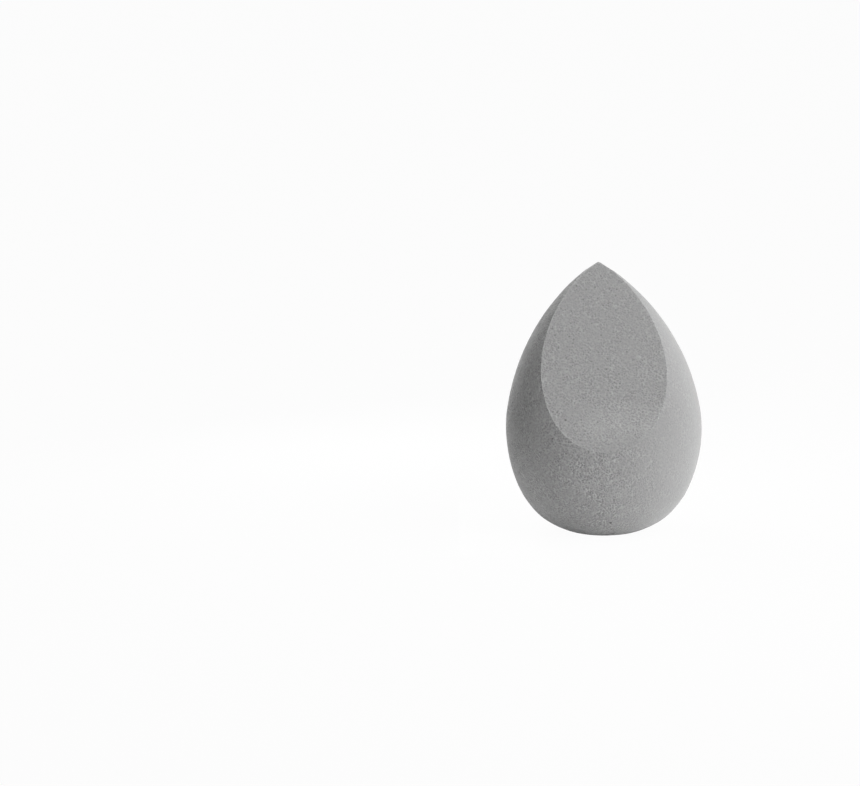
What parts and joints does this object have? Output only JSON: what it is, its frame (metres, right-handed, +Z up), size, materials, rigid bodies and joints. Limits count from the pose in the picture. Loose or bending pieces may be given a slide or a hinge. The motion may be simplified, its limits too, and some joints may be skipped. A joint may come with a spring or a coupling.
{
  "type": "makeup sponge",
  "caption": "Teardrop foam makeup sponge with a pointed tip, a rounded base and a flat slanted face, for blending liquid and powder on skin.",
  "frame": {"origin": "centre of the flat foot, on the surface that the sponge stands on", "axes": "+Z up the middle line from the foot to the pointed tip, -Y towards the side with the slanted face, X across, with the mirror plane at X = 0"},
  "size_m": [0.0432, 0.0432, 0.06],
  "materials": {
    "foam": "dry matt fine-celled foam, mid grey"
  },
  "bodies": {
    "root": {"sponge": "foam"}
  },
  "joints": []
}
